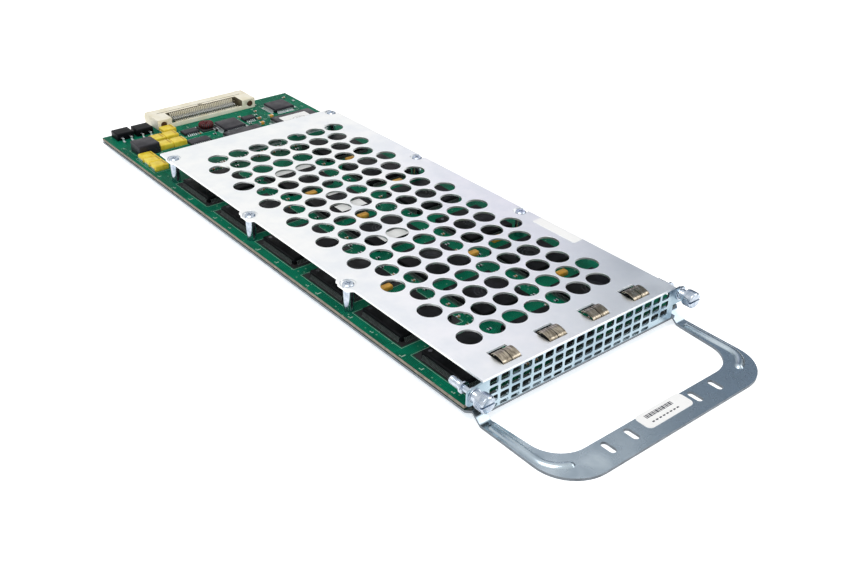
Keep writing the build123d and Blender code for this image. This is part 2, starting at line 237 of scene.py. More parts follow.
def mottle(tree, shader, colourA, colourB, pattern, size, roughA, roughB, detail=3.0):
    # soft patches of two tones and two roughnesses, size mm across
    noise = addNode(tree, "ShaderNodeTexNoise", {"Scale": 1 / size, "Detail": detail}, {"Vector": pattern})
    spread = addNode(tree, "ShaderNodeMapRange", {"From Min": 0.35, "From Max": 0.65},
                     {"Value": noise.outputs["Fac"]})
    tone = addNode(tree, "ShaderNodeMix", {"data_type": "RGBA", 6: hexColour(colourA), 7: hexColour(colourB)},
                   {0: spread.outputs["Result"]})
    tree.links.new(tone.outputs[2], shader.inputs["Base Color"])
    rough = addNode(tree, "ShaderNodeMapRange", {"From Min": 0.35, "From Max": 0.65,
                                                 "To Min": roughA, "To Max": roughB},
                    {"Value": noise.outputs["Fac"]})
    tree.links.new(rough.outputs["Result"], shader.inputs["Roughness"])
    return tone, spread


def grain(tree, shader, pattern, size, depth, detail=2.0):
    # a fine relief of the surface: features size mm apart and depth mm high
    noise = addNode(tree, "ShaderNodeTexNoise", {"Scale": 1 / size, "Detail": detail}, {"Vector": pattern})
    bump = addNode(tree, "ShaderNodeBump", {"Strength": 1.0, "Distance": depth * mm},
                   {"Height": noise.outputs["Fac"]})
    tree.links.new(bump.outputs["Normal"], shader.inputs["Normal"])


def zincSheet(name, bright, shade, roughA, roughB):
    # bright zinc plate on cold rolled steel: cloudy patches, faint rolling lines, no spangle
    material, tree, shader = newMaterial(name, bright, roughA, metallic=1.0)
    mottle(tree, shader, bright, shade, objectPattern(tree), 14.0, roughA, roughB)
    grain(tree, shader, objectPattern(tree, (1, 0.06, 1)), 0.7, 0.006)
    return material


def turnedNickel():
    # nickel plated brass, turned: smooth with slight lathe rings, sharp highlights
    material, tree, shader = newMaterial("nickelPlatedBrass", "BCC5D0", 0.16, metallic=1.0)
    mottle(tree, shader, "C6CED8", "A3AFBE", objectPattern(tree), 2.0, 0.12, 0.24)
    return material


def springBronze():
    # phosphor bronze strip, spring temper: warm grey-brown with lines along the strip
    material, tree, shader = newMaterial("phosphorBronzeStrip", "9A9182", 0.22, metallic=1.0)
    mottle(tree, shader, "B5AB9A", "6B6255", objectPattern(tree, (1, 0.2, 1)), 1.1, 0.16, 0.32)
    return material


def solderMask(name, light, dark, trackTone):
    # glossy green solder mask over copper tracks on glass epoxy: tracks show as a lighter green
    material, tree, shader = newMaterial(name, dark, 0.5, shine=0.06)
    pattern = objectPattern(tree)
    turned = addNode(tree, "ShaderNodeMapping", {"Rotation": (0, 0, math.radians(90))}, {"Vector": pattern})
    fields = addNode(tree, "ShaderNodeTexVoronoi", {"Scale": 1 / 7.0, "distance": "CHEBYCHEV"},
                     {"Vector": pattern})
    runs = []
    for vector, width in ((pattern, 9.0), (turned.outputs["Vector"], 13.0)):
        brick = addNode(tree, "ShaderNodeTexBrick",
                        {"Scale": 1.0, "Mortar Size": 0.16, "Mortar Smooth": 0.1, "Brick Width": width,
                         "Row Height": 0.75, "Color1": (0, 0, 0, 1), "Color2": (0, 0, 0, 1),
                         "Mortar": (1, 1, 1, 1)}, {"Vector": vector})
        runs.append(brick.outputs["Color"])
    chosen = addNode(tree, "ShaderNodeMath", {"operation": "GREATER_THAN", 1: 0.5},
                     {0: fields.outputs["Color"]})
    tracks = addNode(tree, "ShaderNodeMix", {"data_type": "RGBA"},
                     {0: chosen.outputs[0], 6: runs[0], 7: runs[1]})
    copper = addNode(tree, "ShaderNodeTexNoise", {"Scale": 1 / 16.0, "Detail": 1.0}, {"Vector": pattern})
    plane = addNode(tree, "ShaderNodeMapRange", {"From Min": 0.48, "From Max": 0.54},
                    {"Value": copper.outputs["Fac"]})
    ground = addNode(tree, "ShaderNodeMix", {"data_type": "RGBA", 6: hexColour(dark), 7: hexColour(light)},
                     {0: plane.outputs["Result"]})
    lines = addNode(tree, "ShaderNodeMix", {"data_type": "RGBA", 7: hexColour(trackTone)},
                    {0: tracks.outputs[2], 6: ground.outputs[2]})
    vias = addNode(tree, "ShaderNodeTexVoronoi", {"Scale": 1 / 3.4}, {"Vector": pattern})
    pads = addNode(tree, "ShaderNodeMapRange", {"From Min": 0.15, "From Max": 0.11},
                   {"Value": vias.outputs["Distance"]})
    final = addNode(tree, "ShaderNodeMix", {"data_type": "RGBA", 7: hexColour("6FA084")},
                    {0: pads.outputs["Result"], 6: lines.outputs[2]})
    tree.links.new(final.outputs[2], shader.inputs["Base Color"])
    raised = addNode(tree, "ShaderNodeBump", {"Strength": 0.6, "Distance": 0.04 * mm},
                     {"Height": tracks.outputs[2]})
    tree.links.new(raised.outputs["Normal"], shader.inputs["Normal"])
    return material


def mouldedEpoxy(name, light, dark, shine):
    # filled black epoxy of chip packages: matt, with a fine sandblasted mould texture
    material, tree, shader = newMaterial(name, light, 0.5, shine=shine)
    mottle(tree, shader, light, dark, objectPattern(tree), 6.0, 0.36, 0.5)
    grain(tree, shader, objectPattern(tree), 0.25, 0.012)
    return material


def polishedResin():
    # black epoxy where the mould is polished: ejector rings and pin-one dots
    material, tree, shader = newMaterial("polishedBlackEpoxy", "33353D", 0.25, shine=0.5)
    mottle(tree, shader, "3A3C45", "2A2C33", objectPattern(tree), 3.0, 0.14, 0.26)
    return material


def creamResin():
    # cream glass-filled polyester of the connector: satin, slightly uneven tone
    material, tree, shader = newMaterial("creamPolyester", "F6F0DC", 0.42)
    mottle(tree, shader, "F8F3E2", "EEE6CC", objectPattern(tree), 7.0, 0.36, 0.5)
    grain(tree, shader, objectPattern(tree), 0.4, 0.008)
    return material


def tinPlate():
    # tin plated copper leads: pale grey and satin
    material, tree, shader = newMaterial("tinPlatedCopper", "E4E6E8", 0.34, metallic=1.0)
    mottle(tree, shader, "EEF0F1", "D2D6DA", objectPattern(tree), 1.5, 0.28, 0.42)
    return material


def yellowEpoxy(name, light, dark):
    # moulded epoxy of tantalum capacitors: opaque and satin
    material, tree, shader = newMaterial(name, light, 0.38)
    mottle(tree, shader, light, dark, objectPattern(tree), 3.0, 0.32, 0.44)
    return material


def plainCoat(name, colour, roughness, second, size=4.0):
    # a painted, printed or enamelled surface with a slight change of tone
    material, tree, shader = newMaterial(name, colour, roughness)
    mottle(tree, shader, colour, second, objectPattern(tree), size, roughness, roughness + 0.08)
    return material


materials = {
    "coverZinc": zincSheet("brightZincCover", "F6F7F6", "EBEEF0", 0.34, 0.44),
    "panelZinc": zincSheet("brightZincPanel", "B4C6D0", "97ACB9", 0.22, 0.34),
    # painted shade: a dark copy of zinc for the panel's flange behind the mesh, standing in for the shade there
    "shadedInsideZinc": plainCoat("paintedShadeZincInside", "1C2A2A", 0.6, "152020"),
    # painted shade: a dark grey copy of the tin leads for the chips under the cover, standing in for the shade
    # there
    "soldered": plainCoat("solderedLeads", "6E7674", 0.4, "565E5C", 1.0),
    "cutSteel": plainCoat("shearedSteelEdge", "747C84", 0.4, "5C646C", 3.0),
    "panZinc": zincSheet("clearBlueZincPan", "BAC6CE", "A0AEB8", 0.2, 0.32),
    "nickel": turnedNickel(),
    "bronze": springBronze(),
    "mask": solderMask("greenSolderMask", "005A42", "00382A", "0B8564"),
    "laminate": plainCoat("bareGlassEpoxyEdge", "8A8172", 0.6, "6E675A", 2.0),
    # painted shade and painted light: two copies of the chips' black epoxy, a darker one for the chips under
    # the cover, darkened to stand in for the shade there, and a lighter grey one for most open chips at the
    # rear, lightened to stand in for the light on them
    "epoxy": mouldedEpoxy("mouldedEpoxy", "101115", "08090B", 0.08),
    "litGreyEpoxy": mouldedEpoxy("litMouldedEpoxy", "2B2A31", "1F1E25", 0.25),
    "polished": polishedResin(),
    "cream": creamResin(),
    # painted shade: a dark brown cream for the connector's cavity and top grooves, standing in for the shade in
    # them
    "creamShade": plainCoat("creamPolyesterPaintedShade", "5E563E", 0.6, "4A4230"),
    "tin": tinPlate(),
    "yellow": yellowEpoxy("yellowEpoxy", "F2DC4A", "E2C22A"),
    "amber": yellowEpoxy("amberEpoxy", "E3B04A", "CC9230"),
    "brown": plainCoat("darkYellowBand", "C4A01C", 0.45, "B08D14"),
    "ceramic": plainCoat("tanCeramic", "B58B5A", 0.5, "A07844", 1.0),
    "red": plainCoat("redEnamelWire", "6A1118", 0.25, "4A0B12", 1.0),
    "label": plainCoat("whiteLabelFilm", "FBFBFA", 0.5, "F6F6F5", 8.0),
    "ink": plainCoat("printedInk", "30323E", 0.5, "262833"),
    "silk": plainCoat("whiteSilkscreen", "A9C7B6", 0.6, "94B5A2"),
    "dark": plainCoat("darkFerrite", "141416", 0.6, "0E0E10"),
    "eyelet": plainCoat("brownOxidisedBrass", "5A3A22", 0.45, "3A2416", 1.0),
}
print("materials ready:", len(materials))


# Sheet metal: the CAD forms with broken edges, and the cover's holes cut truly round
sheetForm = {"coverEdge": 0.14, "panelEdge": 0.16, "panEdge": 0.22, "behindMesh": 1.2, "flangeHeight": 2,
             "holeRadius": 5.58, "holeSides": 48, "holeDepth": 6, "pitch": 12.7, "columns": 7, "rows": 18,
             "firstRow": 26.0, "offset": -3.75}


def roundHoles():
    form = sheetForm
    cutters = None
    deselect()
    for row in range(form["rows"]):
        shift = form["offset"] + (0.25 if row % 2 else -0.25) * form["pitch"]
        for column in range(form["columns"]):
            x = shift + (column - (form["columns"] - 1) / 2) * form["pitch"]
            centre = place(x, form["firstRow"] + row * form["pitch"], 0)
            centre.z = coverHigh.z
            bpy.ops.mesh.primitive_cylinder_add(vertices=form["holeSides"], radius=form["holeRadius"] * mm,
                                                depth=form["holeDepth"] * mm, location=centre)
            if cutters is None:
                cutters = settle(bpy.context.active_object)
                bpy.ops.object.mode_set(mode="EDIT")
    leaveEdit()
    return cutters


def coverSheet():
    piece = copyNode("cover_plate", "coverSheet")
    cut(piece, roundHoles())
    pick(piece)
    bpy.ops.object.mode_set(mode="EDIT")
    bpy.ops.mesh.select_all(action="SELECT")
    bpy.ops.mesh.dissolve_limited(angle_limit=math.radians(0.5))
    leaveEdit()
    soften(piece, sheetForm["coverEdge"] * mm, 1)
    smooth(piece, 30)
    flatten(piece)
    return finish(piece, materials["coverZinc"], replaced=["cover_plate"])


def softSheet(node, name, edge, material, cutEdge=None):
    piece = copyNode(node, name)
    soften(piece, edge * mm, 2)
    smooth(piece, 30)
    flatten(piece)
    piece.data.materials.append(material)
    if cutEdge:
        piece.data.materials.append(cutEdge)
        for face in piece.data.polygons:
            face.material_index = 1 if abs(face.normal.z) < 0.2 else 0
    return finish(piece, material, replaced=[node])


def shadeInside(piece):
    # painted shade: the panel's flange behind the mesh, over the board, is coloured dark to stand in for the
    # shade there
    piece.data.materials.append(materials["shadedInsideZinc"])
    front = panelLow.y + sheetForm["behindMesh"] * mm
    top = boardHigh.z + sheetForm["flangeHeight"] * mm
    for face in piece.data.polygons:
        if face.center.y > front and face.center.z < top:
            face.material_index = 1


coverSheet()
shadeInside(softSheet("front_panel", "meshPanel", sheetForm["panelEdge"], materials["panelZinc"]))
softSheet("base_pan", "panSheet", sheetForm["panEdge"], materials["panZinc"], materials["cutSteel"])
print("sheet metal ready")


# Circuit boards: solder mask on both faces and bare laminate round the edge
def boardPiece(node, name, mask):
    piece = copyNode(node, name)
    piece.data.materials.append(mask)
    piece.data.materials.append(materials["laminate"])
    for face in piece.data.polygons:
        face.material_index = 0 if abs(face.normal.z) > 0.5 else 1
    return finish(piece, mask, replaced=[node])


boardPiece("main_board", "mainBoard", materials["mask"])

# Print on the board: white outlines and specks; and painted shade: a dark field round each chip of the left
# column, standing in for the shade under the cover
printForm = {"line": 0.16, "height": 0.02, "outlineHalf": (17.2, 17.7), "columnX": -42.4, "firstY": 28.1,
             "pitch": 41.65, "rows": 6, "shadeFieldInset": 0.5,
             "rearOutlines": ((5.7, 308.7, 9.4, 9.4), (46.8, 318.0, 9.4, 9.4), (-18.8, 314.2, 6.0, 5.2),
                              (20.6, 312.2, 5.2, 4.6), (-56.9, 285.8, 5.2, 12.2), (-36.4, 308.8, 9.8, 9.8),
                              (-7.6, 314.4, 5.4, 5.4), (-52.7, 304.1, 7.2, 6.8)),
             "specks": ((-62.2, 14.6), (-62.0, 34.9), (-62.3, 47.2), (-61.9, 69.3), (-62.2, 84.6),
                        (-62.0, 110.2), (-62.3, 118.8), (-61.9, 146.0), (-62.2, 162.4), (-62.0, 190.5),
                        (-62.3, 204.8), (-61.8, 232.1), (-62.2, 249.7), (-61.9, 268.2), (57.3, 302.5),
                        (60.2, 311.0), (56.2, 325.4), (14.7, 301.8), (18.3, 306.7), (29.6, 306.1),
                        (28.4, 316.9), (31.1, 325.2), (-2.2, 301.6), (-12.4, 302.7), (-15.6, 322.8),
                        (-24.5, 309.3), (-46.2, 316.6), (-61.0, 315.2))}


def outlineBoxes(x, y, halfX, halfY, thin):
    boxes = []
    for side in (-1, 1):
        boxes.append(((x - halfX, y + side * halfY - thin), (x + halfX, y + side * halfY + thin)))
        boxes.append(((x + side * halfX - thin, y - halfY), (x + side * halfX + thin, y + halfY)))
    return boxes


def boardPrint():
    form = printForm
    top = boardTop
    thin, high = form["line"] / 2, top + form["height"]
    halfX, halfY = form["outlineHalf"]
    boxes = []
    for row in range(form["rows"]):
        boxes += outlineBoxes(form["columnX"], form["firstY"] + row * form["pitch"], halfX, halfY, thin)
    for x, y, half, depth in form["rearOutlines"]:
        boxes += outlineBoxes(x, y, half, depth, thin)
    for number, (x, y) in enumerate(form["specks"]):
        wide = 0.5 + 0.35 * (number % 3)
        boxes.append(((x - wide, y - 0.3), (x + wide, y + 0.3)))
        boxes.append(((x - wide, y + 0.7), (x - wide + 0.5, y + 1.5)))
    corners = [(place(*low, top), place(*far, high)) for low, far in boxes]
    finish(addBoxes("boardPrint", corners), materials["silk"])
    # painted shade: dark fields on the board round the left column's chips stand in for the shade under the
    # cover
    inset, fields = form["shadeFieldInset"], []
    for row in range(form["rows"]):
        x, y = form["columnX"], form["firstY"] + row * form["pitch"]
        fields.append((place(x - halfX + inset, y - halfY + inset, top),
                       place(x + halfX - inset, y + halfY - inset, high)))
    finish(addBoxes("paintedShadeFields", fields), materials["dark"])


boardPrint()
print("board ready")


# Plain parts that only need broken edges and a material
plainParts = [
    # the grey epoxy is the lighter copy with painted light, the plain epoxy the darker copy with painted shade
    ("coil_block", "coilBlock", 0.3, "litGreyEpoxy", "black_package"),
    ("power_package_left", "powerBodyLeft", 0.2, "epoxy", "black_package"),
    ("power_package_right", "powerBodyRight", 0.2, "epoxy", "black_package"),
    ("cover_standoffs", "coverStandoffs", 0.15, "nickel", "nickel_plated_steel"),
    ("pan_screws", "panScrews", 0.1, "nickel", "nickel_plated_steel"),
    ("screw_ferrule_left", "ferruleLeft", 0.15, "nickel", "nickel_plated_steel"),
    ("screw_ferrule_right", "ferruleRight", 0.15, "nickel", "nickel_plated_steel"),
    ("choke_base", "chokeBase", 0.2, "dark", "black_package"),
    ("driver_chip", "driverChip", 0.12, "litGreyEpoxy", "black_package"),
    ("buffer_chip", "bufferChip", 0.12, "litGreyEpoxy", "black_package"),
    ("clock_chip", "clockChip", 0.12, "litGreyEpoxy", "black_package"),
    ("interface_chip_left", "interfaceChipLeft", 0.12, "litGreyEpoxy", "black_package"),
    ("interface_chip_right", "interfaceChipRight", 0.12, "litGreyEpoxy", "black_package"),
    ("controller_chip_left", "controllerChipLeft", 0.15, "litGreyEpoxy", "black_package"),
    ("controller_chip_right", "controllerChipRight", 0.15, "litGreyEpoxy", "black_package"),
    ("tantalum_capacitors", "tantalumCapacitors", 0.15, "yellow", "yellow_resin"),
    ("filter_capacitors", "filterCapacitors", 0.35, "amber", "yellow_resin"),
]
signalChips = [(column, number) for column in ("left", "middle", "right") for number in range(1, 7)]
for column, number in signalChips:
    plainParts.append((f"signal_chip_{column}_{number}", f"{column}Chip{number}", 0.15, "epoxy",
                       "black_package"))
for node, name, edge, material, slotName in plainParts:
    piece = copyNode(node, name)
    soften(piece, edge * mm, 2, 25)
    smooth(piece, 40)
    finish(piece, materials[material], replaced=[node])
print("plain parts ready")


# Leads of the chips: one gull-wing lead, repeated along each side that has leads
leadForms = {
    "large": {"pitch": 0.8, "width": 0.44, "sheet": 0.18, "reach": 1.6, "rise": 1.7, "pad": 0.6},
    "covered": {"pitch": 0.8, "width": 0.3, "sheet": 0.18, "reach": 1.3, "rise": 1.7, "pad": 0.1},
    "small": {"pitch": 0.8, "width": 0.5, "sheet": 0.18, "reach": 1.7, "rise": 1.3, "pad": 0.9},
    "outline": {"pitch": 1.27, "width": 0.6, "sheet": 0.2, "reach": 1.5, "rise": 0.9, "pad": 0.9},
}
leadedChips = [("interface_chip_left", "small", (0, 1, 2, 3)),
               ("interface_chip_right", "small", (0, 1, 2, 3)),
               ("controller_chip_left", "large", (0, 1, 2, 3)),
               ("controller_chip_right", "large", (0, 1, 2, 3)),
               ("driver_chip", "outline", (0, 2)), ("buffer_chip", "outline", (0, 2)),
               ("clock_chip", "outline", (0, 2))]
for column, number in signalChips:
    leadedChips.append((f"signal_chip_{column}_{number}", "covered", (0, 1, 2, 3)))
leadRows = {}


def leadRow(kind, count):
    # a row along X that reaches outwards along -Y from y = 0
    if (kind, count) in leadRows:
        return leadRows[kind, count]
    form = {name: value * mm for name, value in leadForms[kind].items()}
    half, sheet, reach, rise = form["width"] / 2, form["sheet"], form["reach"], form["rise"]
    knee = -0.45 * reach
    pad, padOver = form["pad"], 0.03 * mm
    lead = addBoxes("lead", [((-half, -reach, 0), (half, knee, sheet)),
                             ((-half, -reach - pad, 0), (half, -reach, padOver)),
                             ((-half, knee - sheet / 2, 0), (half, knee + sheet / 2, rise)),
                             ((-half, knee, rise - sheet), (half, 0.2 * mm, rise))])
    lead.data.transform(Matrix.Translation((-(count - 1) / 2 * form["pitch"], 0, 0)))
    applyModifier(lead, "ARRAY", count=count, use_relative_offset=False, use_constant_offset=True,
                  constant_offset_displace=(form["pitch"], 0, 0))
    leadRows[kind, count] = lead
    return lead


def chipLeads(node, kind, sides):
    low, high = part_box(node)
    centre = Vector(((low.x + high.x) / 2, (low.y + high.y) / 2, low.z))
    spans = ((high.x - low.x) / mm, (high.y - low.y) / mm)
    rows = []
    for side in sides:
        along, across = spans[side % 2], spans[1 - side % 2]
        row = leadRow(kind, int((along - 1.6) / leadForms[kind]["pitch"]))
        turn = Matrix.Rotation(math.radians(90 * side), 4, "Z")
        outwards = Matrix.Translation((0, -across / 2 * mm, 0))
        rows.append(copyPiece(row, Matrix.Translation(centre) @ turn @ outwards))
    name = "".join(word.capitalize() for word in node.split("_"))
    # the leads of chips under the cover take the dark grey copy of tin, painted shade
    metal = materials["soldered" if kind == "covered" else "tin"]
    return finish(join(f"leads{name}", rows), metal)


for node, kind, sides in leadedChips:
    chipLeads(node, kind, sides)
for row in leadRows.values():
    bpy.data.objects.remove(row)


# Mould marks: a pin-one dot on every chip, rings on the larger ones, and paper labels on some
chipMarks = {"dotRadius": 0.9, "dotInset": 2.6, "smallInset": 1.3, "rings": (2.2, 3.8, 5.4), "ringWire": 0.14,
             "rearFrom": 260, "rearTop": 10.6, "coveredTop": 10.8, "paper": 0.08,
             "labels": (((-13.6, 222.4), (8.6, 230.2)), ((-10.0, 165.6), (6.0, 173.0)),
                        ((-5.0, 185.4), (3.0, 191.0)), ((-12.0, 126.2), (3.0, 133.8)),
                        ((33.0, 289.5), (52.0, 296.0)))}


def chipDots():
    form = chipMarks
    dots = []
    for node, kind, sides in leadedChips:
        low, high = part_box(node)
        inset = form["smallInset" if kind == "outline" else "dotInset"] * mm
        spot = Vector((low.x + inset, high.y - inset, high.z - 0.02 * mm))
        wide = kind in ("large", "covered")
        radius = form["dotRadius"] * (1.0 if wide else 0.55) * mm
        dots.append(addRod("dot", spot, spot + Vector((0, 0, 0.04 * mm)), radius, 24))
        for radius in form["rings"] if wide else ():
            deselect()
            bpy.ops.mesh.primitive_torus_add(
                major_radius=radius * mm, minor_radius=form["ringWire"] * mm, major_segments=40,
                minor_segments=6, location=((low.x + high.x) / 2, (low.y + high.y) / 2, high.z))
            dots.append(settle(bpy.context.active_object))
    return finish(join("mouldMarks", dots), materials["polished"])


def chipLabels():
    form = chipMarks
    labels = []
    for (lowX, lowY), (highX, highY) in form["labels"]:
        base = form["rearTop"] if lowY > form["rearFrom"] else form["coveredTop"]
        labels.append((place(lowX, lowY, base), place(highX, highY, base + form["paper"])))
    return finish(addBoxes("chipLabels", labels), materials["label"])


chipDots()
chipLabels()
print("chips ready:", len(leadedChips))


# Small parts at the rear of the board and the terminals of the yellow capacitors
smallForm = {
    "parts": ((23.5, 300.4, 3.2, 2.2, 1.5, "amber"), (26.3, 308.7, 3.2, 1.6, 1.1, "ceramic"),
              (34.1, 307.1, 3.4, 2.0, 1.4, "amber"), (30.5, 320.4, 2.0, 1.2, 0.8, "ceramic"),
              (-4.9, 307.4, 2.6, 2.2, 1.6, "dark"), (-14.9, 309.0, 2.0, 1.2, 0.7, "ceramic"),
              (17.6, 304.3, 2.0, 1.2, 0.6, "dark"), (17.6, 318.2, 2.0, 1.2, 0.7, "ceramic"),
              (27.5, 314.6, 2.0, 1.2, 0.6, "dark"), (-13.6, 318.5, 2.0, 1.2, 0.7, "ceramic"),
              (-27.4, 307.6, 2.0, 1.2, 0.7, "ceramic"), (-8.0, 303.2, 2.0, 1.2, 0.6, "dark"),
              (36.0, 330.2, 2.0, 1.2, 0.6, "dark"), (-46.4, 294.6, 2.0, 1.2, 0.7, "ceramic"),
              (58.2, 330.6, 2.0, 1.2, 0.7, "ceramic"), (60.4, 322.0, 1.2, 2.0, 0.6, "dark"),
              (-25.0, 325.0, 2.0, 1.2, 0.7, "ceramic")),
    "lanes": (-25.4, -21.2, 13.6, 19.6), "laneSize": (2.0, 1.2, 0.7),
    "rearRows": (254.6, 258.9, 263.1), "rearSize": (2.2, 1.3, 0.8),
    "endCap": 0.45, "capOver": 0.05, "terminalReach": 0.35, "terminalWidth": 4.6, "terminalHeight": 1.5,
    "capacitors": ((-56.9, 293.4), (-56.9, 285.8), (-56.9, 278.2), (-40.6, 314.2), (-31.9, 314.2),
                   (-41.0, 303.4), (-32.4, 303.0), (-29.0, 323.3)),
    "capacitorSize": (8.2, 7.0), "band": 1.1, "bandEdge": 0.9, "bandInset": 0.5, "bandLow": 3.3,
    "bandHigh": 3.32,
}


def smallParts():
    form = smallForm
    top = boardTop
    bodies, caps = {}, []
    between = [(x + chance.uniform(-0.8, 0.8), y + chance.uniform(-1.5, 1.5), *form["laneSize"],
                chance.choice(("ceramic", "dark")))
               for x in form["lanes"] for y in range(12, 270, 9)]
    rear = [(x, y + chance.uniform(-0.6, 0.6), *form["rearSize"], chance.choice(("ceramic", "dark")))
            for y in form["rearRows"] for x in range(-44, 22, 5) if x < -24 or y > 256]
    for x, y, width, depth, height, material in list(form["parts"]) + between + rear:
        end, over = form["endCap"], form["capOver"]
        bodies.setdefault(material, []).append((place(x - width / 2 + end, y - depth / 2, top),
                                                place(x + width / 2 - end, y + depth / 2, top + height)))
        for low in (x - width / 2, x + width / 2 - end):
            caps.append((place(low, y - depth / 2 - over, top),
                         place(low + end, y + depth / 2 + over, top + height + over)))
    for material, boxes in bodies.items():
        piece = addBoxes(f"{material}Bodies", boxes)
        soften(piece, 0.1 * mm, 1)
        finish(piece, materials[material])
    width, depth = form["capacitorSize"]
    for x, y in form["capacitors"]:
        for side in (-1, 1):
            inner, outer = x + side * (width / 2 - 0.1), x + side * (width / 2 + form["terminalReach"])
            caps.append((place(min(inner, outer), y - form["terminalWidth"] / 2, top),
                         place(max(inner, outer), y + form["terminalWidth"] / 2, top + form["terminalHeight"])))
    finish(addBoxes("tinnedEnds", caps), materials["tin"])
    edge, inset = form["bandEdge"], form["bandInset"]
    bands = [(place(x + width / 2 - edge - form["band"], y - depth / 2 + inset, top + form["bandLow"]),
              place(x + width / 2 - edge, y + depth / 2 - inset, top + form["bandHigh"]))
             for x, y in form["capacitors"]]
    finish(addBoxes("polarityBands", bands), materials["brown"])


smallParts()


# Wound choke: a dark ring with turns of red wire round it
chokeForm = {"place": (-7.6, 314.4), "floor": 8.6, "ring": 3.0, "section": 1.25, "wire": 0.27, "turns": 22}


def woundChoke():
    form = chokeForm
    centre = place(*form["place"], form["floor"] + form["section"] + form["wire"])
    deselect()
    bpy.ops.mesh.primitive_torus_add(major_radius=form["ring"] * mm, minor_radius=form["section"] * mm,
                                     major_segments=48, minor_segments=16, location=centre)
    core = settle(bpy.context.active_object)
    core.name = "chokeCore"
    smooth(core)
    deselect()
    bpy.ops.mesh.primitive_torus_add(major_radius=(form["section"] + form["wire"] * 0.8) * mm,
                                     minor_radius=form["wire"] * mm, major_segments=20, minor_segments=8,
                                     location=(0, 0, 0), rotation=(math.radians(90), 0, 0))
    loop = settle(bpy.context.active_object)
    turns = []
    outwards = Matrix.Translation((form["ring"] * mm, 0, 0))
    for number in range(form["turns"]):
        spin = Matrix.Rotation(math.radians(360 * number / form["turns"]), 4, "Z")
        turns.append(copyPiece(loop, Matrix.Translation(centre) @ spin @ outwards))
    bpy.data.objects.remove(loop)
    winding = join("chokeWinding", turns)
    smooth(winding)
    finish(core, materials["dark"])
    finish(winding, materials["red"], replaced=["choke_ring"])


woundChoke()
print("rear parts ready")


# Connector: comb ribs between the contacts, dark lines of painted shade along the top at the lip and notch, an
# eyelet at each end and the contacts
combForm = {"middle": 1.5, "count": 34, "pitch": 1.27, "rib": 0.42, "ribFront": 336.2, "ribRear": 337.7,
            "ribTop": 13.2, "toothFront": 328.5, "toothRear": 329.5, "toothLow": 9.7, "toothTop": 10.6,
            "lip": (339.6, 340.1), "lipHalf": 29.0, "notch": (338.0, 339.2), "notchHalf": 1.4, "shadeLineLow": 13.59,
            "shadeLineHigh": 13.62, "cavityLow": (-23.6, 329.4, 7.0), "cavityHigh": (26.6, 337.8, 13.2),
            "eyelets": (-28.65, 31.65), "eyeletRadius": 1.9, "eyeletHeight": 10.5, "eyeletFront": 328.35,
            "eyeletRear": 328.6}


def connectorShell():
    form = combForm
    piece = copyNode("connector_housing", "connectorShell")
    soften(piece, 0.25 * mm, 2, 25)
    smooth(piece, 40)
    piece.data.materials.append(materials["cream"])
    piece.data.materials.append(materials["creamShade"])
    # painted shade: faces inside the cavity take the dark cream, standing in for the shade there
    low, high = place(*form["cavityLow"]), place(*form["cavityHigh"])
    for face in piece.data.polygons:
        inside = all(low[axis] < face.center[axis] < high[axis] for axis in range(3))
        face.material_index = 1 if inside else 0
    return finish(piece, materials["cream"], replaced=["connector_housing"])


def connectorComb():
    form = combForm
    first = form["middle"] - form["count"] / 2 * form["pitch"]
    half = form["rib"] / 2
    boxes = []
    for number in range(form["count"] + 1):
        x = first + number * form["pitch"]
        boxes.append((place(x - half, form["ribFront"], boardTop),
                      place(x + half, form["ribRear"], form["ribTop"])))
        boxes.append((place(x - half, form["toothFront"], form["toothLow"]),
                      place(x + half, form["toothRear"], form["toothTop"])))
    comb = addBoxes("connectorComb", boxes)
    finish(comb, materials["cream"])
    # painted shade: thin dark strips on top stand in for the shade in the lip and notch grooves
    lines = [(place(form["middle"] - form[half], form[run][0], form["shadeLineLow"]),
              place(form["middle"] + form[half], form[run][1], form["shadeLineHigh"]))
             for half, run in (("lipHalf", "lip"), ("notchHalf", "notch"))]
    finish(addBoxes("connectorShadeLines", lines), materials["creamShade"])
    eyelets = []
    for x in form["eyelets"]:
        eyelets.append(addRod("eyelet", place(x, form["eyeletFront"], form["eyeletHeight"]),
                              place(x, form["eyeletRear"], form["eyeletHeight"]), form["eyeletRadius"] * mm))
    finish(join("connectorEyelets", eyelets), materials["eyelet"])
    contacts = copyNode("connector_contacts", "connectorContacts")
    soften(contacts, 0.06 * mm, 1)
    finish(contacts, materials["tin"], replaced=["connector_contacts"])


connectorShell()
connectorComb()
print("connector ready")


# Leads of the two power packages: out of the body, down and forward on the board
powerForm = {"bodies": ((-54.1, 332.0), (-41.8, 331.4)), "offset": 2.6, "width": 1.25, "bodyFront": 4.4,
             "bend": 6.5, "foot": 8.7, "thickness": 0.6, "high": 9.6}


def powerLeads():
    form = powerForm
    boxes = []
    for x, y in form["bodies"]:
        for side in (-1, 1):
            middle = x + side * form["offset"]
            low, high = middle - form["width"] / 2, middle + form["width"] / 2
            thick, top, bend = form["thickness"], boardTop, y - form["bend"]
            boxes.append((place(low, bend, form["high"] - thick),
                          place(high, y - form["bodyFront"], form["high"])))
            boxes.append((place(low, bend - thick, top), place(high, bend, form["high"])))
            boxes.append((place(low, y - form["foot"], top), place(high, bend, top + thick)))
    leads = addBoxes("powerLeads", boxes)
    soften(leads, 0.12 * mm, 2)
    return finish(leads, materials["tin"], replaced=["power_package_leads"])


powerLeads()


# Cover screws with a cross recess
screwForm = {"slotHalf": 1.5, "slotWidth": 0.55, "floor": 20.75, "over": 22.0,
             "posts": ((-59.25, 90.6), (-59.25, 173.9), (-57.35, 257.2), (49.85, 95.7), (49.85, 179.0),
                       (49.85, 262.3))}


